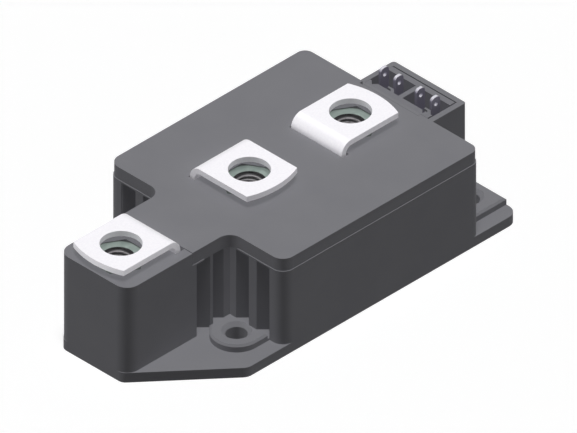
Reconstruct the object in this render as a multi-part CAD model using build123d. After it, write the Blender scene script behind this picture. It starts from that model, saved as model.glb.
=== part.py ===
from build123d import *
import math
import os

# Dual thyristor power module: a moulded frame with a narrow nose, a glued lid,
# three bent power terminals over captive nuts and a four-tab control connector.
# Millimetres. X runs from the nose to the connector, Z is up and the origin lies
# in the bottom face, in the centre of the four mounting holes.

# Mounting holes
hole_spacing_x = 80.0
hole_spacing_y = 38.0
hole_diameter = 5.5
countersink_diameter = 7.55
collar_diameter = 7.5
collar_clearance = 0.1

# Flange
flange_width = 60.4
flange_thickness = 2.85
front_overhang = 30.6
rear_overhang = 5.95
front_edge_width = 20.2
slant_length = 23.4
flange_corner_radius = 3.3
flange_front_radius = 2.5

# Wide body of the frame
body_front_gap = 4.8
body_rear_gap = 7.2
frame_height = 24.55
front_corner_radius = 3.3
rear_corner_radius = 2.5
side_wall = 2.0
rear_wall = 2.1
front_wall = 4.5
land_setback = 0.26

# Nose and neck of the frame
nose_width = 23.9
nose_corner_radius = 3.65
neck_width = 23.25
neck_length = 12.9
neck_wall = 3.8
nose_wall = 2.5

# Upright grooves with a right angle at the bottom
neck_groove_depths = (2.33, 1.82)
neck_groove_offsets = (8.8, 3.7)
front_groove_depth = 2.21
front_groove_offsets = (16.0, 23.05)
groove_rim = 0.43
groove_overcut = 1.0

# Raised pads round the mounting holes
pad_height = 4.9
pad_chamfer = 0.53
pad_radius = 6.6
pad_wall_gap = 0.9
pad_step_height = 3.47
rear_pad_width = 52.0

# Lid
lid_thickness = 3.63
lid_setback = 0.17
seam_gap = 0.25
lid_inner_corner_radius = 3.6
lip_depth = 2.0
lip_thickness = 1.2
lip_clearance = 0.15
tongue_thickness = 0.92
tongue_left = 9.1
tongue_right = 9.6
tongue_clearance = 0.06
notch_width = 1.1
notch_depth = 1.2

# Metal base plate let into the underside
base_thickness = 2.0
base_inset = 1.2
base_clearance = 0.1

# Power terminals, bent from strip
strap_width = 17.35
strap_thickness = 1.55
strap_gap = 1.87
strap_hole_diameter = 10.55
strap_end_reach = 9.45
strap_end_radius = 23.0
strap_bend_reach = 11.75
strap_bend_radius = 1.88
strap_slot_clearance = 0.5
strap_outer_clearance = 0.1
leg_width = 12.0
leg_shoulder_height = 18.0
foot_bend_radius = 0.8
foot_length = 4.9
front_strap_from_nose = 9.85
middle_strap_from_body = 18.65
rear_strap_from_body = 14.55
link_height = 9.0

# Captive nuts, M8
nut_across_flats = 13.0
nut_height = 6.5
nut_bore_diameter = 6.7
nut_rim_diameter = 8.45
nut_setback = 0.08
nut_fit = 0.08
nut_corner_chamfer = 0.7
front_nut_shift = 1.0
rear_nut_shift = 0.6
screw_well_diameter = 9.0
screw_well_depth = 5.5
well_floor = 1.5
well_boss_diameter = 18.0

# Control connector
connector_width = 24.9
connector_height = 26.65
connector_setback = 0.38
connector_left_radius = 0.9
connector_right_radius = 0.6
insert_length = 9.4
insert_left = 10.95
insert_right = 10.45
insert_tight_gap = 0.06
insert_open_gap = 0.4
insert_height = 10.15
insert_rear_wall = 1.65
insert_ledge = 0.8
socket_length = 6.05
socket_depth = 8.15
socket_divider = 1.4
socket_divider_center = 0.54
coding_notch_depth = 1.1
half_notch_depth = 1.03
half_notch_shift = 0.23
rib_reach = 1.2
rib_width = 1.15
rib_offset = 0.4
rib_finger_width = 0.55
rib_finger_reach = 1.4

# Control tabs
tab_centers = (9.3, 4.3, -3.1, -8.3)
tab_width = 2.8
tab_thickness = 0.8
tab_top_height = 29.7
tab_top_radius = 1.1
tab_hole_diameter = 1.2
tab_hole_drop = 2.0
tab_tail_height = 9.0
tab_fit = 0.05
tab_from_rear = 6.57

# Insulating substrates
tile_width = 50.0
tile_wall_gap = 0.8
tile_middle_gap = 1.4
ceramic_thickness = 0.6
copper_thickness = 0.3
track_inset = 0.8
track_gap = 1.2
common_track_reach = 3.0
common_arm_reach = 7.0
common_arm_length = 5.0

# Thyristor chips and their leads
chip_size = 17.0
chip_thickness = 0.4
chip_center_y = -15.3
front_chip_from_tile = 14.4
rear_chip_from_tile = 15.3
clip_thickness = 0.6
clip_bend_radius = 0.4
clip_arch_height = 6.5
front_clip_width = 8.0
rear_clip_width = 10.0
clip_foot_length = 3.4
clip_reach = 5.5
lead_diameter = 0.8
lead_bend_radius = 1.5
lead_run_share = 0.45
lead_height = 10.5
lead_step = 2.0
lead_corner_inset = 1.5

# Places that follow from the sizes
front_row_x = -hole_spacing_x / 2
rear_row_x = hole_spacing_x / 2
flange_front_x = front_row_x - front_overhang
flange_rear_x = rear_row_x + rear_overhang
body_front_x = front_row_x + body_front_gap
body_rear_x = rear_row_x - body_rear_gap
seam_x = body_front_x - neck_length
lid_top = frame_height + lid_thickness
cavity_front_x = body_front_x + front_wall
cavity_rear_x = body_rear_x - rear_wall
cavity_width = flange_width - 2 * side_wall
channel_width = neck_width - 2 * neck_wall
connector_rear_x = flange_rear_x - connector_setback
tab_x = connector_rear_x - tab_from_rear
socket_front_x = tab_x - socket_length / 2
insert_rear_x = socket_front_x + socket_length + insert_rear_wall
insert_front_x = insert_rear_x - insert_length
insert_bottom = connector_height - insert_height
socket_front_wall = socket_front_x - insert_front_x
strap_underside = lid_top + strap_gap
strap_top_height = strap_underside + strap_thickness
leg_reach = strap_bend_reach - strap_thickness / 2
slot_half_width = strap_width / 2 + strap_slot_clearance
front_strap_x = flange_front_x + front_strap_from_nose
middle_strap_x = body_front_x + middle_strap_from_body
rear_strap_x = body_rear_x - rear_strap_from_body
front_nut_x = front_strap_x - front_nut_shift
rear_nut_x = rear_strap_x - rear_nut_shift
nut_top = lid_top - nut_setback
nut_bottom = nut_top - nut_height
well_bottom = nut_bottom - screw_well_depth
tile_length = (cavity_rear_x - cavity_front_x - 2 * tile_wall_gap - tile_middle_gap) / 2
front_tile_x = cavity_front_x + tile_wall_gap
rear_tile_x = front_tile_x + tile_length + tile_middle_gap
ceramic_bottom = base_thickness + copper_thickness
track_bottom = ceramic_bottom + ceramic_thickness
track_top = track_bottom + copper_thickness
chip_top = track_top + chip_thickness
front_chip_x = front_tile_x + front_chip_from_tile
rear_chip_x = rear_tile_x + rear_chip_from_tile
cut_margin = 5.0


def prism(face, bottom, top):
    """Extrude a flat face between two heights."""
    return extrude(Pos(0, 0, bottom) * face, top - bottom)


def block(x_range, y_range, z_range):
    """Make a box from its limits along each axis."""
    size = [high - low for low, high in (x_range, y_range, z_range)]
    center = [(low + high) / 2 for low, high in (x_range, y_range, z_range)]
    return Pos(*center) * Box(*size)


def strip_rectangle(x_low, x_high, width):
    """Make a flat rectangle that is centred on the long axis."""
    return Pos((x_low + x_high) / 2, 0) * Rectangle(x_high - x_low, width)


def round_upright(part, x, radius, y=None):
    """Round the upright edges at one x, on both sides or at one y."""
    edges = [
        edge
        for edge in part.edges().filter_by(Axis.Z)
        if abs(edge.center().X - x) < 0.01 and (y is None or abs(edge.center().Y - y) < 0.01)
    ]
    return fillet(edges, radius)


def both_sides(part):
    """Return a part together with its mirror image across the long axis."""
    return part + mirror(part, about=Plane.XZ)


def flange_outline(inset):
    """Draw the plan of the flange, moved inwards by an inset."""
    half = flange_width / 2
    front_half = front_edge_width / 2
    corners = [
        (flange_front_x, -front_half),
        (flange_front_x + slant_length, -half),
        (flange_rear_x, -half),
        (flange_rear_x, half),
        (flange_front_x + slant_length, half),
        (flange_front_x, front_half),
    ]
    outline = make_face(Polyline(*corners, close=True))
    points = outline.vertices().sort_by(Axis.X)
    outline = fillet(points[2:], flange_corner_radius)
    outline = fillet(outline.vertices().sort_by(Axis.X)[:2], flange_front_radius)
    if inset > 0:
        outline = offset(outline, -inset)
    return outline


def front_pad_outline(wall_gap):
    """Draw one front pad, which ends at a gap from the nose and body walls."""
    hole_y = hole_spacing_y / 2
    reach = pad_radius / math.sqrt(2)
    inner_y = neck_width / 2 + wall_gap
    rear_x = body_front_x + land_setback - wall_gap
    tangent = (front_row_x - reach, hole_y - reach)
    slant_end = (tangent[0] + tangent[1] - inner_y, inner_y)
    outline = [
        Line((rear_x, hole_y + pad_radius), (front_row_x, hole_y + pad_radius)),
        ThreePointArc(
            (front_row_x, hole_y + pad_radius),
            (front_row_x - pad_radius, hole_y),
            tangent,
        ),
        Line(tangent, slant_end),
        Line(slant_end, (rear_x, inner_y)),
        Line((rear_x, inner_y), (rear_x, hole_y + pad_radius)),
    ]
    return make_face(outline)


def front_pads():
    """Raise the two pads in front of the wide body, each on a step that fills the grooves."""
    step = prism(front_pad_outline(-front_groove_depth), 0, pad_step_height)
    pad = prism(front_pad_outline(pad_wall_gap), 0, pad_height)
    pad = chamfer(pad.faces().sort_by(Axis.Z)[-1].edges(), pad_chamfer)
    return both_sides(step + pad)


def rear_pad():
    """Raise the pad round both rear holes and under the connector."""
    pad = block(
        (body_rear_x - rear_wall / 2, flange_rear_x),
        (-rear_pad_width / 2, rear_pad_width / 2),
        (0, pad_height),
    )
    top = pad.faces().sort_by(Axis.Z)[-1]
    rim = top.edges().filter_by(Axis.X) + [top.edges().filter_by(Axis.Y).sort_by(Axis.X)[-1]]
    return chamfer(rim, pad_chamfer)


def mounting_hole(x, y):
    """Make the tool that cuts one countersunk mounting hole."""
    sink_depth = (countersink_diameter - hole_diameter) / 2
    hole = Cylinder(hole_diameter / 2, pad_height + cut_margin, align=(Align.CENTER, Align.CENTER, Align.MIN))
    sink = Cone(
        hole_diameter / 2,
        countersink_diameter / 2,
        sink_depth,
        align=(Align.CENTER, Align.CENTER, Align.MAX),
    )
    return Pos(x, y, 0) * hole + Pos(x, y, pad_height) * sink


def hole_collar(x, y):
    """Make the collar that lines one mounting hole through the base plate."""
    return Pos(x, y, 0) * prism(Circle(collar_diameter / 2), 0, flange_thickness)


def hole_centers():
    """List the centres of the four mounting holes."""
    return [
        (x, y)
        for x in (front_row_x, rear_row_x)
        for y in (-hole_spacing_y / 2, hole_spacing_y / 2)
    ]


def groove(x, y, direction, reach):
    """Make one upright right-angled groove tool, its bottom edge at x, y."""
    side = Polyline(
        (0, 0),
        (-reach, reach),
        (reach, reach),
        close=True,
    )
    tool = prism(make_face(side), flange_thickness, frame_height - groove_rim)
    return Pos(x, y, 0) * (Rot(0, 0, direction) * tool)


def grooves():
    """Make all grooves of one side: two in the neck and two in the front wall."""
    neck_y = neck_width / 2
    land_x = body_front_x + land_setback
    tools = []
    for offset_x, depth in zip(neck_groove_offsets, neck_groove_depths):
        tools.append(groove(body_front_x - offset_x, neck_y - depth, 0, depth + groove_overcut))
    for y in front_groove_offsets:
        tools.append(groove(land_x + front_groove_depth, y, 90, front_groove_depth + groove_overcut / 2))
    return tools


def wide_body():
    """Make the solid block of the wide body with its recessed front lands."""
    body = block(
        (body_front_x, body_rear_x),
        (-flange_width / 2, flange_width / 2),
        (0, frame_height),
    )
    body = round_upright(body, body_front_x, front_corner_radius)
    body = round_upright(body, body_rear_x, rear_corner_radius)
    land_half = front_groove_offsets[-1] + front_groove_depth + land_setback / 2
    land = block(
        (body_front_x - cut_margin, body_front_x + land_setback),
        (-land_half, land_half),
        (0, frame_height - groove_rim),
    )
    return body - land


def nose_block():
    """Make the solid nose and the neck behind it."""
    step_x = body_front_x - neck_groove_offsets[0]
    nose = block(
        (flange_front_x, seam_x),
        (-nose_width / 2, nose_width / 2),
        (0, lid_top),
    )
    nose = round_upright(nose, flange_front_x, nose_corner_radius)
    shoulder = block(
        (seam_x, step_x),
        (-nose_width / 2, nose_width / 2),
        (0, frame_height),
    )
    neck = block(
        (step_x, body_front_x + front_wall / 2),
        (-neck_width / 2, neck_width / 2),
        (0, frame_height),
    )
    return nose + shoulder + neck


def connector_block():
    """Make the solid block of the connector housing."""
    box = block(
        (body_rear_x, connector_rear_x),
        (-connector_width / 2, connector_width / 2),
        (0, connector_height),
    )
    box = round_upright(box, connector_rear_x, connector_left_radius, connector_width / 2)
    return round_upright(box, connector_rear_x, connector_right_radius, -connector_width / 2)


def lid_tongue():
    """Make the thin wall that stands behind the lid over the connector."""
    return block(
        (body_rear_x - tongue_thickness, body_rear_x),
        (-tongue_right, tongue_left),
        (frame_height - rear_wall, lid_top),
    )


def cavity_face():
    """Draw the plan of the main chamber and the channel in the neck."""
    chamber = strip_rectangle(cavity_front_x, cavity_rear_x, cavity_width)
    channel = strip_rectangle(seam_x, cavity_front_x + side_wall, channel_width)
    return chamber + channel


def nut_tool(x, turn):
    """Make the pocket for one captive nut and the well for the end of its screw."""
    radius = (nut_across_flats / 2 + nut_fit) / math.cos(math.pi / 6)
    hexagon = Rot(0, 0, turn) * RegularPolygon(radius, 6)
    pocket = prism(hexagon, nut_bottom, lid_top + cut_margin)
    well = prism(Circle(screw_well_diameter / 2), well_bottom, nut_bottom)
    return Pos(x, 0, 0) * (pocket + well)


def frame_hollows():
    """Make the tools for every hollow of the frame."""
    plate_recess = prism(flange_outline(base_inset), -cut_margin, base_thickness)
    chamber = prism(cavity_face(), 0, frame_height + cut_margin)
    nose_hollow = block(
        (flange_front_x + nose_wall, seam_x),
        (-nose_width / 2 + nose_wall, nose_width / 2 - nose_wall),
        (0, well_bottom - well_floor),
    )
    front_slot = block(
        (front_strap_x + strap_bend_reach - strap_thickness - strap_slot_clearance, seam_x),
        (-slot_half_width, slot_half_width),
        (0, lid_top + cut_margin),
    )
    insert_pocket = block(
        (insert_front_x - insert_tight_gap, insert_rear_x + insert_open_gap),
        (-insert_right - insert_open_gap, insert_left + insert_tight_gap),
        (insert_bottom, connector_height + cut_margin),
    )
    tail_chamber = block(
        (cavity_rear_x - side_wall, insert_rear_x - insert_ledge),
        (-insert_right + insert_ledge, insert_left - insert_ledge),
        (0, insert_bottom),
    )
    return [plate_recess, chamber, nose_hollow, front_slot, insert_pocket, tail_chamber]


def make_housing_frame():
    """Mould the frame: flange, pads, nose, walls and connector in one piece."""
    frame = prism(flange_outline(0), 0, flange_thickness)
    frame += wide_body()
    frame += nose_block()
    for tool in grooves():
        frame -= both_sides(tool)
    frame += front_pads()
    frame += rear_pad()
    frame += connector_block()
    frame += lid_tongue()
    for tool in frame_hollows():
        frame -= tool
    frame -= nut_tool(front_nut_x, 90)
    for x, y in hole_centers():
        frame += hole_collar(x, y)
        frame -= mounting_hole(x, y)
    return frame


def lid_outline():
    """Draw the plan of the lid, with its neck and rounded inner corners."""
    half = flange_width / 2 - lid_setback
    neck_half = nose_width / 2 - lid_setback
    neck_x = seam_x + seam_gap
    front_x = body_front_x + lid_setback
    rear_x = body_rear_x - lid_setback
    corners = [
        (neck_x, -neck_half),
        (front_x, -neck_half),
        (front_x, -half),
        (rear_x, -half),
        (rear_x, half),
        (front_x, half),
        (front_x, neck_half),
        (neck_x, neck_half),
    ]
    outline = make_face(Polyline(*corners, close=True))

    def at(x, y):
        return [
            corner
            for corner in outline.vertices()
            if abs(corner.X - x) < 0.01 and abs(abs(corner.Y) - y) < 0.01
        ]

    outline = fillet(at(front_x, neck_half), lid_inner_corner_radius)
    outline = fillet(at(front_x, half), front_corner_radius)
    return fillet(at(rear_x, half), rear_corner_radius)


def lid_lip():
    """Make the lip under the lid that finds its place inside the frame."""
    outer = offset(cavity_face(), -lip_clearance, kind=Kind.INTERSECTION)
    inner = offset(cavity_face(), -lip_clearance - lip_thickness, kind=Kind.INTERSECTION)
    ring = outer - inner
    lip = prism(ring, frame_height - lip_depth, frame_height)
    neck_end = block(
        (seam_x - cut_margin, seam_x + seam_gap + lip_thickness + 2 * lip_clearance),
        (-neck_width, neck_width),
        (0, lid_top),
    )
    return lip - neck_end


def well_boss(x):
    """Make the boss under the lid that holds one nut pocket and screw well."""
    return Pos(x, 0, 0) * prism(Circle(well_boss_diameter / 2), well_bottom - well_floor, frame_height)


def leg_slot(x, y, turn):
    """Make the slot in the lid for the leg of one strap."""
    near = strap_bend_reach - strap_thickness - strap_slot_clearance
    far = strap_bend_reach + strap_outer_clearance
    slot = block((near, far), (-slot_half_width, slot_half_width), (0, lid_top + cut_margin))
    return Pos(x, y, 0) * (Rot(0, 0, turn) * slot)


def make_lid():
    """Mould the lid with its lip, nut wells and strap slots."""
    lid = prism(lid_outline(), frame_height, lid_top)
    lid += lid_lip()
    lid += well_boss(middle_strap_x)
    lid += well_boss(rear_nut_x)
    lid -= nut_tool(middle_strap_x, 0)
    lid -= nut_tool(rear_nut_x, 90)
    lid -= leg_slot(middle_strap_x, 0, 90)
    lid -= leg_slot(rear_strap_x, 0, 180)
    lid -= block(
        (body_rear_x - tongue_thickness - tongue_clearance, body_rear_x + cut_margin),
        (-tongue_right - tongue_clearance, tongue_left + tongue_clearance),
        (frame_height, lid_top),
    )
    lid -= block(
        (body_rear_x - notch_depth, body_rear_x + cut_margin),
        (tongue_left, tongue_left + notch_width),
        (frame_height, lid_top),
    )
    return lid


def make_base_plate():
    """Cut the metal base plate that is glued into the underside."""
    plate = prism(flange_outline(base_inset + base_clearance), 0, base_thickness)
    radius = collar_diameter / 2 + collar_clearance
    for x, y in hole_centers():
        plate -= Pos(x, y, base_thickness / 2) * Cylinder(radius, base_thickness + cut_margin)
    return plate


def coding_notch():
    """Draw the plan of the V notch beside the first tab, its wall line on the Y axis."""
    depth = coding_notch_depth
    return make_face(Polyline((0, depth), (-depth, 0), (0, -depth), close=True))


def half_notch():
    """Draw the plan of the half notch beside the last tab."""
    depth = half_notch_depth
    return make_face(Polyline((0, depth), (-depth, 0), (0, 0), close=True))


def guide_rib():
    """Draw the plan of a hooked guide rib, its tab's centre line on the X axis."""
    root = -socket_front_wall / 2
    foot = -rib_offset - rib_width
    finger_x = rib_reach - rib_finger_width
    outline = Polyline(
        (root, foot),
        (0, foot),
        (rib_reach, foot + rib_reach),
        (rib_reach, rib_finger_reach),
        (finger_x, rib_finger_reach),
        (finger_x, finger_x - rib_offset),
        (0, -rib_offset),
        (root, -rib_offset),
        close=True,
    )
    return make_face(outline)


def make_connector_insert():
    """Mould the tab carrier with its two open-ended sockets, notches and guide ribs."""
    insert = block(
        (insert_front_x, insert_rear_x),
        (-insert_right, insert_left),
        (insert_bottom, connector_height),
    )
    divider = (
        socket_divider_center - socket_divider / 2,
        socket_divider_center + socket_divider / 2,
    )
    floor_height = connector_height - socket_depth
    for span in ((-insert_right - cut_margin, divider[0]), (divider[1], insert_left + cut_margin)):
        insert -= block(
            (socket_front_x, socket_front_x + socket_length),
            span,
            (floor_height, connector_height + cut_margin),
        )
    first, second, last = tab_centers[0], tab_centers[1], tab_centers[3]
    notches = Pos(0, first) * coding_notch() + Pos(0, last + half_notch_shift) * half_notch()
    insert -= Pos(socket_front_x, 0, 0) * prism(notches, floor_height, connector_height + cut_margin)
    for y in (second, last):
        insert += Pos(socket_front_x, y, 0) * prism(guide_rib(), floor_height, connector_height)
    for y in tab_centers:
        insert -= block(
            (tab_x - tab_width / 2 - tab_fit, tab_x + tab_width / 2 + tab_fit),
            (y - tab_thickness / 2 - tab_fit, y + tab_thickness / 2 + tab_fit),
            (insert_bottom - cut_margin, connector_height),
        )
    return insert


def make_control_tab(y):
    """Stamp one control tab, rounded at the top and pierced."""
    blade = block(
        (tab_x - tab_width / 2, tab_x + tab_width / 2),
        (y - tab_thickness / 2, y + tab_thickness / 2),
        (tab_tail_height, tab_top_height),
    )
    crown = blade.faces().sort_by(Axis.Z)[-1].edges().filter_by(Axis.Y)
    blade = fillet(crown, tab_top_radius)
    hole = Rot(90, 0, 0) * Cylinder(tab_hole_diameter / 2, tab_thickness + cut_margin)
    return blade - Pos(tab_x, y, tab_top_height - tab_hole_drop) * hole


def bent_strip(points, width, thickness, radii):
    """Bend a flat strip along a path that lies in the XZ plane."""
    path = FilletPolyline(*[(x, 0, z) for x, z in points], radius=radii)
    section = Plane(origin=path @ 0, x_dir=(0, 1, 0), z_dir=path % 0) * Rectangle(width, thickness)
    return sweep(section, path=path)


def make_strap(points):
    """Bend one power terminal, its screw hole at the origin and its leg towards +X."""
    top = strap_top_height - strap_thickness / 2
    top_radius = strap_bend_radius + strap_thickness / 2
    foot_radius = foot_bend_radius + strap_thickness / 2
    route = [(-strap_end_reach - 1, top), (leg_reach, top)] + points
    radii = [top_radius] + [foot_radius] * (len(route) - 3)
    strap = bent_strip(route, strap_width, strap_thickness, radii)
    end_zone = block(
        (-strap_end_reach - cut_margin, -strap_hole_diameter / 2),
        (-strap_width, strap_width),
        (strap_underside - cut_margin, strap_top_height + cut_margin),
    )
    end_arc = Pos(strap_end_radius - strap_end_reach, 0, strap_underside) * Cylinder(
        strap_end_radius, 4 * cut_margin
    )
    strap -= end_zone - end_arc
    strap -= Pos(0, 0, strap_underside) * Cylinder(strap_hole_diameter / 2, cut_margin)
    side_cut = block(
        (0, leg_reach + strap_width * 3),
        (leg_width / 2, strap_width),
        (0, leg_shoulder_height),
    )
    return strap - both_sides(side_cut)


def foot_height():
    """Give the height of the middle of a strap's foot on its track."""
    return track_top + strap_thickness / 2


def make_terminal_front():
    """Make the nose terminal, whose leg runs through the neck to the front tile."""
    drop = front_tile_x + track_inset + strap_thickness / 2 - front_strap_x
    points = [
        (leg_reach, link_height),
        (drop, link_height),
        (drop, foot_height()),
        (drop + foot_length - strap_thickness / 2, foot_height()),
    ]
    return Pos(front_strap_x, 0, 0) * make_strap(points)


def make_terminal_middle():
    """Make the middle terminal, whose leg goes down beside its nut well."""
    points = [(leg_reach, foot_height()), (leg_reach + foot_length, foot_height())]
    return Pos(middle_strap_x, 0, 0) * (Rot(0, 0, 90) * make_strap(points))


def make_terminal_rear():
    """Make the rear terminal, whose leg goes down in front of its nut well."""
    points = [(leg_reach, foot_height()), (leg_reach + foot_length, foot_height())]
    return Pos(rear_strap_x, 0, 0) * (Rot(0, 0, 180) * make_strap(points))


def make_nut(x, turn):
    """Make one captive hexagon nut with chamfered corners and a plain bore."""
    corner_radius = nut_across_flats / math.sqrt(3)
    nut = prism(RegularPolygon(corner_radius, 6), 0, nut_height)
    crown = Cone(
        corner_radius + nut_height / math.tan(math.pi / 6),
        corner_radius - nut_corner_chamfer,
        nut_height,
        align=(Align.CENTER, Align.CENTER, Align.MIN),
    )
    nut = nut & crown
    nut -= Pos(0, 0, nut_height / 2) * Cylinder(nut_bore_diameter / 2, nut_height + cut_margin)
    rim_depth = (nut_rim_diameter - nut_bore_diameter) / 2
    nut -= Pos(0, 0, nut_height) * Cone(
        nut_bore_diameter / 2,
        nut_rim_diameter / 2,
        rim_depth,
        align=(Align.CENTER, Align.CENTER, Align.MAX),
    )
    return Pos(x, 0, nut_bottom) * (Rot(0, 0, turn) * nut)


def tile_face(x, inset):
    """Draw the plan of one tile from its front edge, moved inwards by an inset."""
    return strip_rectangle(x + inset, x + tile_length - inset, tile_width - 2 * inset)


def make_common_track():
    """Etch the track that joins the front terminal, the front chip and the rear clip."""
    front = front_tile_x + track_inset
    rear = front_tile_x + tile_length - track_inset
    main = block(
        (front, rear),
        (-tile_width / 2 + track_inset, common_track_reach),
        (track_bottom, track_top),
    )
    arm = block(
        (front, front + common_arm_length),
        (0, common_arm_reach),
        (track_bottom, track_top),
    )
    return main + arm


def make_cathode_track():
    """Etch the track that joins the front clip and the middle terminal."""
    return block(
        (front_tile_x + track_inset + common_arm_length + track_gap, front_tile_x + tile_length - track_inset),
        (common_track_reach + track_gap, tile_width / 2 - track_inset),
        (track_bottom, track_top),
    )


def make_chip(x):
    """Cut one thyristor chip, soldered with its anode down."""
    return Pos(x, chip_center_y, track_top + chip_thickness / 2) * Box(chip_size, chip_size, chip_thickness)


def clip_route(foot_start, chip_drop):
    """List the corners of a clip from its foot on a track to its end on a chip."""
    foot_z = track_top + clip_thickness / 2
    chip_z = chip_top + clip_thickness / 2
    rise = foot_start + clip_foot_length
    return [
        (foot_start, foot_z),
        (rise, foot_z),
        (rise, clip_arch_height),
        (chip_drop, clip_arch_height),
        (chip_drop, chip_z),
        (chip_drop + 2 * clip_reach, chip_z),
    ]


def make_clip(foot_start, chip_drop, width):
    """Bend one cathode clip along +X."""
    radius = clip_bend_radius + clip_thickness / 2
    route = clip_route(foot_start, chip_drop)
    return bent_strip(route, width, clip_thickness, [radius] * (len(route) - 2))


def make_rear_clip():
    """Join the top of the rear chip to the common track."""
    foot = front_chip_x + chip_size / 2 + track_gap - rear_chip_x
    clip = make_clip(foot, -clip_reach, rear_clip_width)
    return Pos(rear_chip_x, chip_center_y, 0) * clip


def make_front_clip():
    """Join the top of the front chip to the cathode track."""
    foot = chip_center_y - common_track_reach - track_gap - clip_foot_length - 2 * clip_thickness
    clip = make_clip(foot, -clip_reach, front_clip_width)
    return Pos(front_chip_x, chip_center_y, 0) * (Rot(0, 0, -90) * clip)


def lead_radii(points):
    """Give each corner of a lead the usual arc, or the largest its two runs allow."""
    radii = []
    for before, corner, after in zip(points, points[1:], points[2:]):
        first = Vector(*corner) - Vector(*before)
        second = Vector(*after) - Vector(*corner)
        half_turn = math.radians(first.get_angle(second)) / 2
        room = lead_run_share * min(first.length, second.length) / math.tan(half_turn)
        radii.append(min(lead_bend_radius, room))
    return radii


def make_lead(points):
    """Run one thin insulated lead from a tab to a chip, clip or track."""
    path = FilletPolyline(*points, radius=lead_radii(points))
    section = Plane(origin=path @ 0, z_dir=path % 0) * Circle(lead_diameter / 2)
    return sweep(section, path=path)


def lead_start(tab, height):
    """Give the point where a lead meets the front edge of a tab's tail."""
    return (tab_x - tab_width / 2, tab_centers[tab], height)


def make_rear_gate_lead():
    """Join the last tab to the corner of the rear chip."""
    start = lead_start(3, lead_height)
    end_x = rear_chip_x + chip_size / 2 - lead_corner_inset
    return make_lead([start, (end_x, start[1], lead_height), (end_x, start[1], chip_top)])


def make_rear_sense_lead():
    """Join the third tab to the clip on the rear chip."""
    height = lead_height + lead_step
    start = lead_start(2, height)
    end = (rear_chip_x + clip_reach / 2, chip_center_y + rear_clip_width / 3)
    return make_lead(
        [
            start,
            (cavity_rear_x - lead_step, start[1], height),
            (end[0], end[1], height),
            (end[0], end[1], chip_top + clip_thickness),
        ]
    )


def make_front_gate_lead():
    """Join the second tab to the corner of the front chip, past the rear leg."""
    start = lead_start(1, lead_height)
    leg_x = rear_strap_x - leg_reach
    side = leg_width / 2 + lead_step
    end_x = front_chip_x + chip_size / 2 - lead_corner_inset
    end_y = chip_center_y + chip_size / 2 - lead_corner_inset
    return make_lead(
        [
            start,
            (rear_strap_x + leg_reach, start[1], lead_height),
            (leg_x + leg_reach / 2, side, lead_height),
            (leg_x - leg_reach / 2, side - lead_diameter, lead_height),
            (end_x, end_y, lead_height),
            (end_x, end_y, chip_top),
        ]
    )


def make_front_sense_lead():
    """Join the first tab to the cathode track."""
    start = lead_start(0, lead_height)
    end = (front_tile_x + tile_length - track_inset - 2 * lead_step, tile_width / 4)
    return make_lead(
        [
            start,
            (cavity_rear_x - lead_step, start[1], lead_height),
            (rear_strap_x, end[1], lead_height),
            (end[0], end[1], lead_height),
            (end[0], end[1], track_top),
        ]
    )


def save(name, part):
    """Write one node to its own file."""
    part.label = name
    export_step(part, f"parts/{name}.step")


os.makedirs("parts", exist_ok=True)

save("housing_frame", make_housing_frame())
save("lid", make_lid())
save("base_plate", make_base_plate())
save("connector_insert", make_connector_insert())

for number, center in enumerate(tab_centers, start=1):
    save(f"control_tab_{number}", make_control_tab(center))

save("terminal_front", make_terminal_front())
save("terminal_middle", make_terminal_middle())
save("terminal_rear", make_terminal_rear())
save("nut_front", make_nut(front_nut_x, 90))
save("nut_middle", make_nut(middle_strap_x, 0))
save("nut_rear", make_nut(rear_nut_x, 90))

for name, x in (("front", front_tile_x), ("rear", rear_tile_x)):
    save(f"back_copper_{name}", prism(tile_face(x, track_inset), base_thickness, ceramic_bottom))
    save(f"ceramic_tile_{name}", prism(tile_face(x, 0), ceramic_bottom, track_bottom))

save("common_track", make_common_track())
save("cathode_track", make_cathode_track())
save("anode_track", prism(tile_face(rear_tile_x, track_inset), track_bottom, track_top))
save("thyristor_chip_front", make_chip(front_chip_x))
save("thyristor_chip_rear", make_chip(rear_chip_x))
save("cathode_clip_front", make_front_clip())
save("cathode_clip_rear", make_rear_clip())
save("gate_lead_front", make_front_gate_lead())
save("gate_lead_rear", make_rear_gate_lead())
save("sense_lead_front", make_front_sense_lead())
save("sense_lead_rear", make_rear_sense_lead())
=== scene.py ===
import math

import bpy
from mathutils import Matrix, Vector


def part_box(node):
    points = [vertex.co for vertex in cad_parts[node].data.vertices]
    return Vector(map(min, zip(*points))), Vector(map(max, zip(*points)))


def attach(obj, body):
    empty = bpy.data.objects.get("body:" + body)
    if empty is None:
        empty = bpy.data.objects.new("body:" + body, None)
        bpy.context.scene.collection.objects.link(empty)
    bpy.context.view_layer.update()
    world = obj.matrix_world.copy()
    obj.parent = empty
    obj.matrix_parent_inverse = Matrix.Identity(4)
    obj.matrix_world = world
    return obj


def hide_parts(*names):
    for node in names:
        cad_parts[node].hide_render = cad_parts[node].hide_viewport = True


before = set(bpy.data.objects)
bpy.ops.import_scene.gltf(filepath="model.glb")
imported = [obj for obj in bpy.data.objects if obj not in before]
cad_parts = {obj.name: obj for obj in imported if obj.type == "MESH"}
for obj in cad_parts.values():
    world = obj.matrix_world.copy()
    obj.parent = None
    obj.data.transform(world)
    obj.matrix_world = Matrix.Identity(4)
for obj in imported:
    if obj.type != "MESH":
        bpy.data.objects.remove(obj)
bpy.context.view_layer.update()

MM = 0.001

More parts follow.
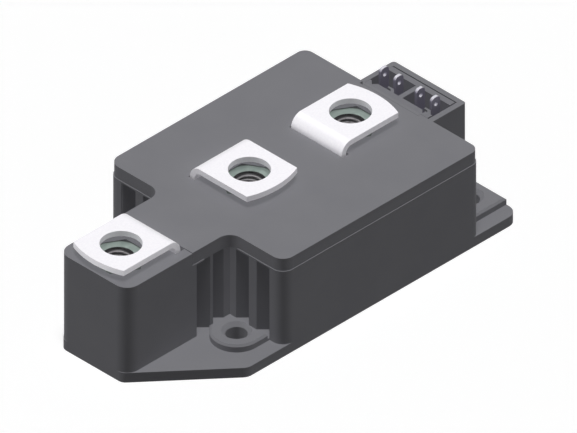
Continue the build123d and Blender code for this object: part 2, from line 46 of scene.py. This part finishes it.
# The stand: the module lies on a plain white table in soft light from above,
# seen along the body diagonal without perspective. The main lamp leans towards
# the camera, so the shadow lies behind, and the fill lamps lift the recesses.
IMAGE_WIDTH = 577
IMAGE_HEIGHT = 433
PIXELS_PER_MM = 4.108
ORIGIN_PIXEL = (297.5, 247.5)
CAMERA_DISTANCE = 600 * MM
CAMERA_REACH = 10000 * MM
TABLE_SIZE = 4000 * MM
WHITE = "#ffffff"
TABLE_BOUNCE = "#3c3c3c"
SKY_LIGHT = 0.06
# The table makes up, to the eye alone, the white that the lamps leave short.
TABLE_LIFT = 0.17
# Each lamp: name, direction it stands in, strength, width in degrees, shadow.
LAMPS = (
    ("lamp_above", (-0.12, -0.12, 1.0), 0.7, 12, True),
    ("fill_above", (0.0, 0.0, 1.0), 1.6, 12, False),
    ("fill_left", (-1.0, 1.0, 0.1), 0.72, 20, False),
    ("fill_right", (1.0, -1.0, 0.1), 0.48, 20, False),
    ("fill_near", (-1.0, -1.0, 0.1), 0.13, 20, False),
)


def srgb(code):
    """Turn an sRGB hex colour into linear red, green, blue and alpha."""
    parts = [int(code[start:start + 2], 16) / 255 for start in (1, 3, 5)]
    linear = [p / 12.92 if p <= 0.04045 else ((p + 0.055) / 1.055) ** 2.4 for p in parts]
    return (*linear, 1.0)


def add(tree, kind, settings=None, links=None):
    """Add one node to a node tree, with its settings and its incoming links."""
    node = tree.nodes.new(kind)
    for name, value in (settings or {}).items():
        if hasattr(node, name):
            setattr(node, name, value)
        else:
            node.inputs[name].default_value = value
    for name, source in (links or {}).items():
        tree.links.new(source, node.inputs[name])
    return node


def start_material(name):
    """Make a material with an empty node tree."""
    material = bpy.data.materials.new(name)
    material.use_nodes = True
    material.node_tree.nodes.clear()
    return material, material.node_tree


def seen_rays(tree):
    """Give 1 where the eye, a mirror or a glass looks, and 0 for light alone."""
    path = add(tree, "ShaderNodeLightPath")
    mirrored = add(
        tree,
        "ShaderNodeMath",
        {"operation": "MAXIMUM"},
        {0: path.outputs["Is Glossy Ray"], 1: path.outputs["Is Transmission Ray"]},
    )
    return add(
        tree,
        "ShaderNodeMath",
        {"operation": "MAXIMUM"},
        {0: mirrored.outputs[0], 1: path.outputs["Is Camera Ray"]},
    )


toward_camera = Vector((-1, -1, 1)).normalized()
image_right = Vector((1, -1, 0)).normalized()
image_up = toward_camera.cross(image_right)
aim = (
    image_right * (IMAGE_WIDTH / 2 - ORIGIN_PIXEL[0]) / PIXELS_PER_MM * MM
    - image_up * (IMAGE_HEIGHT / 2 - ORIGIN_PIXEL[1]) / PIXELS_PER_MM * MM
)
camera_data = bpy.data.cameras.new("camera")
camera_data.type = "ORTHO"
camera_data.ortho_scale = IMAGE_WIDTH / PIXELS_PER_MM * MM
camera_data.clip_end = CAMERA_REACH
camera = bpy.data.objects.new("camera", camera_data)
camera.location = aim + toward_camera * CAMERA_DISTANCE
camera.rotation_euler = (-toward_camera).to_track_quat("-Z", "Y").to_euler()
bpy.context.scene.collection.objects.link(camera)
bpy.context.scene.camera = camera
bpy.context.scene.view_settings.view_transform = "Standard"

world = bpy.data.worlds.new("sky")
world.use_nodes = True
world.node_tree.nodes.clear()
seen = seen_rays(world.node_tree)
strength = add(
    world.node_tree,
    "ShaderNodeMapRange",
    {"To Min": SKY_LIGHT, "To Max": 1.0},
    {"Value": seen.outputs[0]},
)
sky = add(
    world.node_tree,
    "ShaderNodeBackground",
    {"Color": srgb(WHITE)},
    {"Strength": strength.outputs[0]},
)
add(world.node_tree, "ShaderNodeOutputWorld", links={"Surface": sky.outputs[0]})
bpy.context.scene.world = world

for name, direction, energy, width, shadow in LAMPS:
    lamp_data = bpy.data.lights.new(name, "SUN")
    lamp_data.energy = energy
    lamp_data.angle = math.radians(width)
    lamp_data.use_shadow = shadow
    lamp = bpy.data.objects.new(name, lamp_data)
    lamp.rotation_euler = Vector(direction).to_track_quat("Z", "Y").to_euler()
    bpy.context.scene.collection.objects.link(lamp)

table_paint, tree = start_material("white_table")
seen = seen_rays(tree)
table_color = add(
    tree,
    "ShaderNodeMix",
    {"data_type": "RGBA"},
    {"Factor": seen.outputs[0]},
)
table_color.inputs[6].default_value = srgb(TABLE_BOUNCE)
table_color.inputs[7].default_value = srgb(WHITE)
matt = add(tree, "ShaderNodeBsdfDiffuse", links={"Color": table_color.outputs[2]})
lift = add(
    tree,
    "ShaderNodeMapRange",
    {"To Max": TABLE_LIFT},
    {"Value": seen.outputs[0]},
)
glow = add(tree, "ShaderNodeEmission", links={"Strength": lift.outputs[0]})
white = add(tree, "ShaderNodeAddShader", links={0: matt.outputs[0], 1: glow.outputs[0]})
add(tree, "ShaderNodeOutputMaterial", links={"Surface": white.outputs[0]})
bpy.ops.mesh.primitive_plane_add(size=TABLE_SIZE, location=(0, 0, 0))
table = bpy.context.object
table.name = "table"
table.data.materials.append(table_paint)


def dress(nodes, material):
    """Give CAD nodes a material in place of the plain one they come with."""
    for name in nodes:
        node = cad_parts[name]
        node.data.materials.clear()
        node.data.materials.append(material)


# Housing frame and lid: glass-filled thermoplastic, injection moulded in dark
# grey. The moulds are spark-eroded, so every face has an even fine grain with
# a dull sheen. The lid is glued on the frame along a thin seam.
PLASTIC_GREY = "#848488"
PLASTIC_GREY_DEEP = "#7e7e83"
MOULD_GRAIN = 0.35 * MM
MOULD_CLOUD = 9 * MM
MOULD_DEPTH = 0.02 * MM
MOULD_ROUGHNESS = (0.58, 0.72)

moulded_plastic, tree = start_material("moulded_glass_filled_plastic")
place = add(tree, "ShaderNodeTexCoord")
# The real grain is about 0.05 mm. It is drawn at 0.35 mm so that it shows.
grain = add(
    tree,
    "ShaderNodeTexNoise",
    {"Scale": 1 / MOULD_GRAIN, "Detail": 3.0, "Roughness": 0.6},
    {"Vector": place.outputs["Object"]},
)
cloud = add(
    tree,
    "ShaderNodeTexNoise",
    {"Scale": 1 / MOULD_CLOUD, "Detail": 2.0},
    {"Vector": place.outputs["Object"]},
)
tone = add(tree, "ShaderNodeMix", {"data_type": "RGBA"}, {"Factor": cloud.outputs["Fac"]})
tone.inputs[6].default_value = srgb(PLASTIC_GREY_DEEP)
tone.inputs[7].default_value = srgb(PLASTIC_GREY)
dullness = add(
    tree,
    "ShaderNodeMapRange",
    {"To Min": MOULD_ROUGHNESS[0], "To Max": MOULD_ROUGHNESS[1]},
    {"Value": grain.outputs["Fac"]},
)
relief = add(
    tree,
    "ShaderNodeBump",
    {"Strength": 0.25, "Distance": MOULD_DEPTH},
    {"Height": grain.outputs["Fac"]},
)
plastic = add(
    tree,
    "ShaderNodeBsdfPrincipled",
    {"IOR": 1.55, "Specular IOR Level": 0.08},
    {
        "Base Color": tone.outputs[2],
        "Roughness": dullness.outputs[0],
        "Normal": relief.outputs[0],
    },
)
add(tree, "ShaderNodeOutputMaterial", links={"Surface": plastic.outputs[0]})
dress(["housing_frame", "lid"], moulded_plastic)

# Connector insert: a small separate moulding that carries the four tabs, from
# the same kind of plastic, unfilled and a shade darker, so it shines a little
# more. It is pressed into its pocket in the frame.
INSERT_GREY = "#7e7e83"
INSERT_GRAIN = 0.3 * MM
INSERT_DEPTH = 0.015 * MM
INSERT_ROUGHNESS = (0.5, 0.62)

insert_plastic, tree = start_material("moulded_insert_plastic")
place = add(tree, "ShaderNodeTexCoord")
grain = add(
    tree,
    "ShaderNodeTexNoise",
    {"Scale": 1 / INSERT_GRAIN, "Detail": 2.0},
    {"Vector": place.outputs["Object"]},
)
dullness = add(
    tree,
    "ShaderNodeMapRange",
    {"To Min": INSERT_ROUGHNESS[0], "To Max": INSERT_ROUGHNESS[1]},
    {"Value": grain.outputs["Fac"]},
)
relief = add(
    tree,
    "ShaderNodeBump",
    {"Strength": 0.2, "Distance": INSERT_DEPTH},
    {"Height": grain.outputs["Fac"]},
)
plastic = add(
    tree,
    "ShaderNodeBsdfPrincipled",
    {"Base Color": srgb(INSERT_GREY), "IOR": 1.5, "Specular IOR Level": 0.1},
    {"Roughness": dullness.outputs[0], "Normal": relief.outputs[0]},
)
add(tree, "ShaderNodeOutputMaterial", links={"Surface": plastic.outputs[0]})
dress(["connector_insert"], insert_plastic)

# Base plate: copper, nickel plated and ground flat where it meets the
# heatsink. The grinding leaves fine straight lines along its length.
BASE_METAL = "#c9c7c3"
GRIND_SPACING = 0.4 * MM
GRIND_STRETCH = (0.02, 1.0, 1.0)
GRIND_DEPTH = 0.005 * MM
GRIND_ROUGHNESS = (0.3, 0.5)

ground_nickel, tree = start_material("ground_nickel_plate")
place = add(tree, "ShaderNodeTexCoord")
stretch = add(
    tree,
    "ShaderNodeMapping",
    {"Scale": GRIND_STRETCH},
    {"Vector": place.outputs["Object"]},
)
lines = add(
    tree,
    "ShaderNodeTexNoise",
    {"Scale": 1 / GRIND_SPACING, "Detail": 4.0},
    {"Vector": stretch.outputs[0]},
)
dullness = add(
    tree,
    "ShaderNodeMapRange",
    {"To Min": GRIND_ROUGHNESS[0], "To Max": GRIND_ROUGHNESS[1]},
    {"Value": lines.outputs["Fac"]},
)
relief = add(
    tree,
    "ShaderNodeBump",
    {"Strength": 0.3, "Distance": GRIND_DEPTH},
    {"Height": lines.outputs["Fac"]},
)
metal = add(
    tree,
    "ShaderNodeBsdfPrincipled",
    {"Base Color": srgb(BASE_METAL), "Metallic": 1.0},
    {"Roughness": dullness.outputs[0], "Normal": relief.outputs[0]},
)
add(tree, "ShaderNodeOutputMaterial", links={"Surface": metal.outputs[0]})
dress(["base_plate"], ground_nickel)

# Power terminals: each is stamped from copper strip, bent and then plated with
# satin nickel, so the flat tops look almost white and the cut edges greyer.
# Their legs go down through slots and are soldered to the tracks inside.
NICKEL_WHITE = "#f4f3f5"
NICKEL_WORN = "#e4e2e8"
ROLL_LINES = 0.5 * MM
NICKEL_ROUGHNESS = (0.58, 0.7)

satin_nickel, tree = start_material("satin_nickel_plate")
place = add(tree, "ShaderNodeTexCoord")
mottle = add(
    tree,
    "ShaderNodeTexNoise",
    {"Scale": 1 / ROLL_LINES, "Detail": 4.0, "Roughness": 0.55},
    {"Vector": place.outputs["Object"]},
)
tone = add(tree, "ShaderNodeMix", {"data_type": "RGBA"}, {"Factor": mottle.outputs["Fac"]})
tone.inputs[6].default_value = srgb(NICKEL_WORN)
tone.inputs[7].default_value = srgb(NICKEL_WHITE)
dullness = add(
    tree,
    "ShaderNodeMapRange",
    {"To Min": NICKEL_ROUGHNESS[0], "To Max": NICKEL_ROUGHNESS[1]},
    {"Value": mottle.outputs["Fac"]},
)
metal = add(
    tree,
    "ShaderNodeBsdfPrincipled",
    {"Metallic": 0.5},
    {"Base Color": tone.outputs[2], "Roughness": dullness.outputs[0]},
)
add(tree, "ShaderNodeOutputMaterial", links={"Surface": metal.outputs[0]})
dress(["terminal_front", "terminal_middle", "terminal_rear"], satin_nickel)

# Captive nuts: hexagon nuts for an M8 screw, cold-formed steel with a thin
# greenish zinc plating, tapped after it, so the thread is bare steel. Painted
# shade darkens its roots and its outer corners. It is cut here into a copy of the plain CAD
# nut.
THREAD_PITCH = 1.25 * MM
THREAD_ROOT_RADIUS = 4.0 * MM
THREAD_BORE_RADIUS = 3.35 * MM
THREAD_ROOT_WIDTH = THREAD_PITCH / 8
THREAD_MOUTH_WIDTH = THREAD_PITCH * 0.86
THREAD_OVERRUN = 1.5 * MM
THREAD_STEPS = 40
THREAD_WELD = 0.0001 * MM
NUT_WELD = 0.001 * MM
NUT_SMOOTH_ANGLE = 28
TAPPED_RADIUS = 4.2 * MM
LEVEL_NORMAL = 0.95
ZINC_LIGHT = "#a0aca6"
ZINC_DARK = "#84928c"
BARE_STEEL = "#8f8c8e"
# A dark colour painted in as shade.
PAINTED_SHADE = "#1e1d1f"
# Painted shade starts and is full at these distances in millimetres from the
# nut's axis: in the thread's roots, and on the outer corners in the pocket.
ROOT_SHADE_REACH = (3.5, 3.7)
CORNER_SHADE_REACH = (6.3, 6.8)
CORNER_SHADE_SHARE = 0.75
ZINC_PATCH = 1.6 * MM
ZINC_ROUGHNESS = (0.55, 0.68)

zinc_plate, tree = start_material("zinc_plated_steel")
place = add(tree, "ShaderNodeTexCoord")
patches = add(
    tree,
    "ShaderNodeTexNoise",
    {"Scale": 1 / ZINC_PATCH, "Detail": 4.0},
    {"Vector": place.outputs["Object"]},
)
tone = add(tree, "ShaderNodeMix", {"data_type": "RGBA"}, {"Factor": patches.outputs["Fac"]})
tone.inputs[6].default_value = srgb(ZINC_DARK)
tone.inputs[7].default_value = srgb(ZINC_LIGHT)
dullness = add(
    tree,
    "ShaderNodeMapRange",
    {"To Min": ZINC_ROUGHNESS[0], "To Max": ZINC_ROUGHNESS[1]},
    {"Value": patches.outputs["Fac"]},
)
bore = add(tree, "ShaderNodeAttribute", {"attribute_name": "tapped"})
finish = add(tree, "ShaderNodeMix", {"data_type": "RGBA"}, {"Factor": bore.outputs["Fac"]})
finish.inputs[7].default_value = srgb(BARE_STEEL)
tree.links.new(tone.outputs[2], finish.inputs[6])
reach = add(tree, "ShaderNodeAttribute", {"attribute_name": "reach"})
# Painted shade in the thread's roots, where the bore lies in shade.
rooted = add(
    tree,
    "ShaderNodeMapRange",
    {"From Min": ROOT_SHADE_REACH[0], "From Max": ROOT_SHADE_REACH[1]},
    {"Value": reach.outputs["Fac"]},
)
shaded_roots = add(
    tree,
    "ShaderNodeMath",
    {"operation": "MULTIPLY"},
    {0: rooted.outputs[0], 1: bore.outputs["Fac"]},
)
# Painted shade on the outer corners, which lie in the shade of the pocket.
shaded_corners = add(
    tree,
    "ShaderNodeMapRange",
    {"From Min": CORNER_SHADE_REACH[0], "From Max": CORNER_SHADE_REACH[1], "To Max": CORNER_SHADE_SHARE},
    {"Value": reach.outputs["Fac"]},
)
dark = add(
    tree,
    "ShaderNodeMath",
    {"operation": "MAXIMUM"},
    {0: shaded_roots.outputs[0], 1: shaded_corners.outputs[0]},
)
# The painted shade darkens the plating and the bare steel.
painted_shade_mix = add(tree, "ShaderNodeMix", {"data_type": "RGBA"}, {"Factor": dark.outputs[0]})
painted_shade_mix.inputs[7].default_value = srgb(PAINTED_SHADE)
tree.links.new(finish.outputs[2], painted_shade_mix.inputs[6])
metal = add(
    tree,
    "ShaderNodeBsdfPrincipled",
    {"Metallic": 0.35},
    {"Base Color": painted_shade_mix.outputs[2], "Roughness": dullness.outputs[0]},
)
add(tree, "ShaderNodeOutputMaterial", links={"Surface": metal.outputs[0]})


def deselect():
    """Leave nothing selected, in object mode."""
    bpy.ops.object.select_all(action="DESELECT")


def thread_cutter(center, bottom, top):
    """Make the helical wedge that cuts one thread, from below a nut to above it."""
    deselect()
    start = bottom - THREAD_OVERRUN
    bpy.ops.mesh.primitive_plane_add(size=1.0, rotation=(math.pi / 2, 0, 0))
    cutter = bpy.context.object
    inner = THREAD_BORE_RADIUS - THREAD_ROOT_WIDTH
    middle = (THREAD_ROOT_RADIUS + inner) / 2
    cutter.scale = (THREAD_ROOT_RADIUS - inner, THREAD_MOUTH_WIDTH, 1)
    cutter.location = (middle, 0, 0)
    bpy.ops.object.transform_apply(location=True, rotation=True, scale=True)
    bpy.ops.object.mode_set(mode="EDIT")
    bpy.ops.mesh.select_all(action="DESELECT")
    bpy.ops.object.mode_set(mode="OBJECT")
    for vertex in cutter.data.vertices:
        vertex.select = vertex.co.x > middle
    bpy.ops.object.mode_set(mode="EDIT")
    bpy.ops.transform.resize(value=(1, 1, THREAD_ROOT_WIDTH / THREAD_MOUTH_WIDTH))
    bpy.ops.mesh.select_all(action="SELECT")
    bpy.ops.mesh.delete(type="ONLY_FACE")
    bpy.ops.object.mode_set(mode="OBJECT")
    turns = math.ceil((top - bottom + 2 * THREAD_OVERRUN) / THREAD_PITCH)
    screw = cutter.modifiers.new("thread", "SCREW")
    screw.axis = "Z"
    screw.angle = 2 * math.pi
    screw.screw_offset = THREAD_PITCH
    screw.iterations = turns
    screw.steps = THREAD_STEPS
    screw.render_steps = THREAD_STEPS
    screw.use_merge_vertices = False
    bpy.ops.object.modifier_apply(modifier="thread")
    bpy.ops.object.mode_set(mode="EDIT")
    bpy.ops.mesh.select_all(action="SELECT")
    bpy.ops.mesh.remove_doubles(threshold=THREAD_WELD)
    bpy.ops.mesh.fill_holes(sides=4)
    bpy.ops.mesh.select_all(action="SELECT")
    bpy.ops.mesh.normals_make_consistent(inside=False)
    bpy.ops.object.mode_set(mode="OBJECT")
    cutter.location = (center.x, center.y, start)
    bpy.ops.object.transform_apply(location=True, rotation=True, scale=True)
    return cutter


def merged_copy(node_name, piece_name):
    """Copy a CAD node's mesh as a new piece and merge its loose triangles."""
    deselect()
    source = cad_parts[node_name]
    piece = bpy.data.objects.new(piece_name, source.data.copy())
    bpy.context.scene.collection.objects.link(piece)
    bpy.context.view_layer.objects.active = piece
    piece.select_set(True)
    piece.data.materials.clear()
    bpy.ops.object.mode_set(mode="EDIT")
    bpy.ops.mesh.select_all(action="SELECT")
    bpy.ops.mesh.remove_doubles(threshold=NUT_WELD)
    bpy.ops.object.mode_set(mode="OBJECT")
    return piece


for end in ("front", "middle", "rear"):
    low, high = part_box(f"nut_{end}")
    nut = merged_copy(f"nut_{end}", f"threaded_nut_{end}")
    cutter = thread_cutter((low + high) / 2, low.z, high.z)
    bpy.context.view_layer.objects.active = nut
    cut = nut.modifiers.new("cut", "BOOLEAN")
    cut.operation = "DIFFERENCE"
    cut.solver = "EXACT"
    cut.object = cutter
    bpy.ops.object.modifier_apply(modifier="cut")
    bpy.data.objects.remove(cutter)
    deselect()
    nut.select_set(True)
    bpy.ops.object.shade_smooth_by_angle(angle=math.radians(NUT_SMOOTH_ANGLE))
    nut.data.materials.append(zinc_plate)
    tapped = nut.data.attributes.new("tapped", "FLOAT", "FACE")
    reach = nut.data.attributes.new("reach", "FLOAT", "POINT")
    axis_x, axis_y = (low.x + high.x) / 2, (low.y + high.y) / 2
    for face in nut.data.polygons:
        away = math.hypot(face.center.x - axis_x, face.center.y - axis_y)
        inside = away < TAPPED_RADIUS and abs(face.normal.z) < LEVEL_NORMAL
        tapped.data[face.index].value = float(inside)
    for vertex in nut.data.vertices:
        away = math.hypot(vertex.co.x - axis_x, vertex.co.y - axis_y)
        reach.data[vertex.index].value = away / MM
    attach(nut, "root")
    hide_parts(f"nut_{end}")

# Control tabs: thin brass blades, stamped and tinned, that take push-on
# receptacles. The tin has dulled to a lilac grey. Faces that turn upwards get a
# painted highlight, paler the more they look up.
TIN_GREY = "#827f8f"
# The pale tin and the slopes it spans are a painted highlight on upward faces.
TIN_PAINTED_HIGHLIGHT = "#d6d5dd"
TIN_SPOTS = 0.6 * MM
TIN_ROUGHNESS = (0.5, 0.62)
TIN_HIGHLIGHT_SLOPE = (0.35, 0.95)

tinned_brass, tree = start_material("dull_tinned_brass")
place = add(tree, "ShaderNodeTexCoord")
spots = add(
    tree,
    "ShaderNodeTexNoise",
    {"Scale": 1 / TIN_SPOTS, "Detail": 3.0},
    {"Vector": place.outputs["Object"]},
)
dullness = add(
    tree,
    "ShaderNodeMapRange",
    {"To Min": TIN_ROUGHNESS[0], "To Max": TIN_ROUGHNESS[1]},
    {"Value": spots.outputs["Fac"]},
)
# Painted highlight: the more a face looks upwards, the paler its tin is drawn.
facing = add(tree, "ShaderNodeSeparateXYZ", links={"Vector": place.outputs["Normal"]})
upward_highlight = add(
    tree,
    "ShaderNodeMapRange",
    {"From Min": TIN_HIGHLIGHT_SLOPE[0], "From Max": TIN_HIGHLIGHT_SLOPE[1]},
    {"Value": facing.outputs["Z"]},
)
tone = add(tree, "ShaderNodeMix", {"data_type": "RGBA"}, {"Factor": upward_highlight.outputs[0]})
tone.inputs[6].default_value = srgb(TIN_GREY)
tone.inputs[7].default_value = srgb(TIN_PAINTED_HIGHLIGHT)
metal = add(
    tree,
    "ShaderNodeBsdfPrincipled",
    {"Metallic": 0.3},
    {"Base Color": tone.outputs[2], "Roughness": dullness.outputs[0]},
)
add(tree, "ShaderNodeOutputMaterial", links={"Surface": metal.outputs[0]})
dress([f"control_tab_{number}" for number in (1, 2, 3, 4)], tinned_brass)

# Substrates and clips: white ceramic tiles with copper bonded to both sides,
# the upper copper etched into tracks, and copper clips bent from thin strip.
# They lie hidden inside the housing.
COPPER_BRIGHT = "#d98a62"
COPPER_DULL = "#b96f4d"
COPPER_CLOUD = 4 * MM
CERAMIC_WHITE = "#e9e8e2"
CERAMIC_GRIT = 0.4 * MM
CERAMIC_ROUGHNESS = (0.45, 0.6)

bonded_copper, tree = start_material("bare_bonded_copper")
place = add(tree, "ShaderNodeTexCoord")
cloud = add(
    tree,
    "ShaderNodeTexNoise",
    {"Scale": 1 / COPPER_CLOUD, "Detail": 3.0},
    {"Vector": place.outputs["Object"]},
)
tone = add(tree, "ShaderNodeMix", {"data_type": "RGBA"}, {"Factor": cloud.outputs["Fac"]})
tone.inputs[6].default_value = srgb(COPPER_DULL)
tone.inputs[7].default_value = srgb(COPPER_BRIGHT)
metal = add(
    tree,
    "ShaderNodeBsdfPrincipled",
    {"Metallic": 1.0, "Roughness": 0.4},
    {"Base Color": tone.outputs[2]},
)
add(tree, "ShaderNodeOutputMaterial", links={"Surface": metal.outputs[0]})
dress(
    [
        "back_copper_front",
        "back_copper_rear",
        "common_track",
        "cathode_track",
        "anode_track",
        "cathode_clip_front",
        "cathode_clip_rear",
    ],
    bonded_copper,
)

fired_ceramic, tree = start_material("fired_white_ceramic")
place = add(tree, "ShaderNodeTexCoord")
grit = add(
    tree,
    "ShaderNodeTexNoise",
    {"Scale": 1 / CERAMIC_GRIT, "Detail": 2.0},
    {"Vector": place.outputs["Object"]},
)
dullness = add(
    tree,
    "ShaderNodeMapRange",
    {"To Min": CERAMIC_ROUGHNESS[0], "To Max": CERAMIC_ROUGHNESS[1]},
    {"Value": grit.outputs["Fac"]},
)
ceramic = add(
    tree,
    "ShaderNodeBsdfPrincipled",
    {"Base Color": srgb(CERAMIC_WHITE), "IOR": 1.7},
    {"Roughness": dullness.outputs[0]},
)
add(tree, "ShaderNodeOutputMaterial", links={"Surface": ceramic.outputs[0]})
dress(["ceramic_tile_front", "ceramic_tile_rear"], fired_ceramic)

# Chips and leads: two silicon thyristor chips with a polished metallised face,
# and thin wires in a pale sleeve from the tabs to the chips and clips.
# They lie hidden inside the housing too.
SILICON_GREY = "#8c8f9c"
SLEEVE_WHITE = "#e4e1d8"
SLEEVE_RIBS = 0.5 * MM
SLEEVE_DEPTH = 0.02 * MM
CHIP_CLOUD = 4 * MM
CHIP_ROUGHNESS = (0.15, 0.25)

chip_face, tree = start_material("metallised_silicon")
place = add(tree, "ShaderNodeTexCoord")
cloud = add(
    tree,
    "ShaderNodeTexNoise",
    {"Scale": 1 / CHIP_CLOUD, "Detail": 1.0},
    {"Vector": place.outputs["Object"]},
)
shine = add(
    tree,
    "ShaderNodeMapRange",
    {"To Min": CHIP_ROUGHNESS[0], "To Max": CHIP_ROUGHNESS[1]},
    {"Value": cloud.outputs["Fac"]},
)
silicon = add(
    tree,
    "ShaderNodeBsdfPrincipled",
    {"Base Color": srgb(SILICON_GREY), "Metallic": 1.0},
    {"Roughness": shine.outputs[0]},
)
add(tree, "ShaderNodeOutputMaterial", links={"Surface": silicon.outputs[0]})
dress(["thyristor_chip_front", "thyristor_chip_rear"], chip_face)

sleeve, tree = start_material("woven_lead_sleeve")
place = add(tree, "ShaderNodeTexCoord")
weave = add(
    tree,
    "ShaderNodeTexNoise",
    {"Scale": 1 / SLEEVE_RIBS, "Detail": 2.0},
    {"Vector": place.outputs["Object"]},
)
relief = add(
    tree,
    "ShaderNodeBump",
    {"Strength": 0.3, "Distance": SLEEVE_DEPTH},
    {"Height": weave.outputs["Fac"]},
)
cover = add(
    tree,
    "ShaderNodeBsdfPrincipled",
    {"Base Color": srgb(SLEEVE_WHITE), "IOR": 1.45, "Roughness": 0.7},
    {"Normal": relief.outputs[0]},
)
add(tree, "ShaderNodeOutputMaterial", links={"Surface": cover.outputs[0]})
dress(
    ["gate_lead_front", "gate_lead_rear", "sense_lead_front", "sense_lead_rear"],
    sleeve,
)

# The closed inside: no light reaches it in a real module. The lamps without
# shadows would light it through the housing, so they leave it out.
INSIDE_KINDS = ("copper", "ceramic", "track", "thyristor", "clip", "lead")
inside = bpy.data.collections.new("inside")
for name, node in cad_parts.items():
    if any(kind in name for kind in INSIDE_KINDS):
        inside.objects.link(node)
for entry in inside.collection_objects:
    entry.light_linking.link_state = "EXCLUDE"
for name, *_, shadow in LAMPS:
    if not shadow:
        bpy.data.objects[name].light_linking.receiver_collection = inside
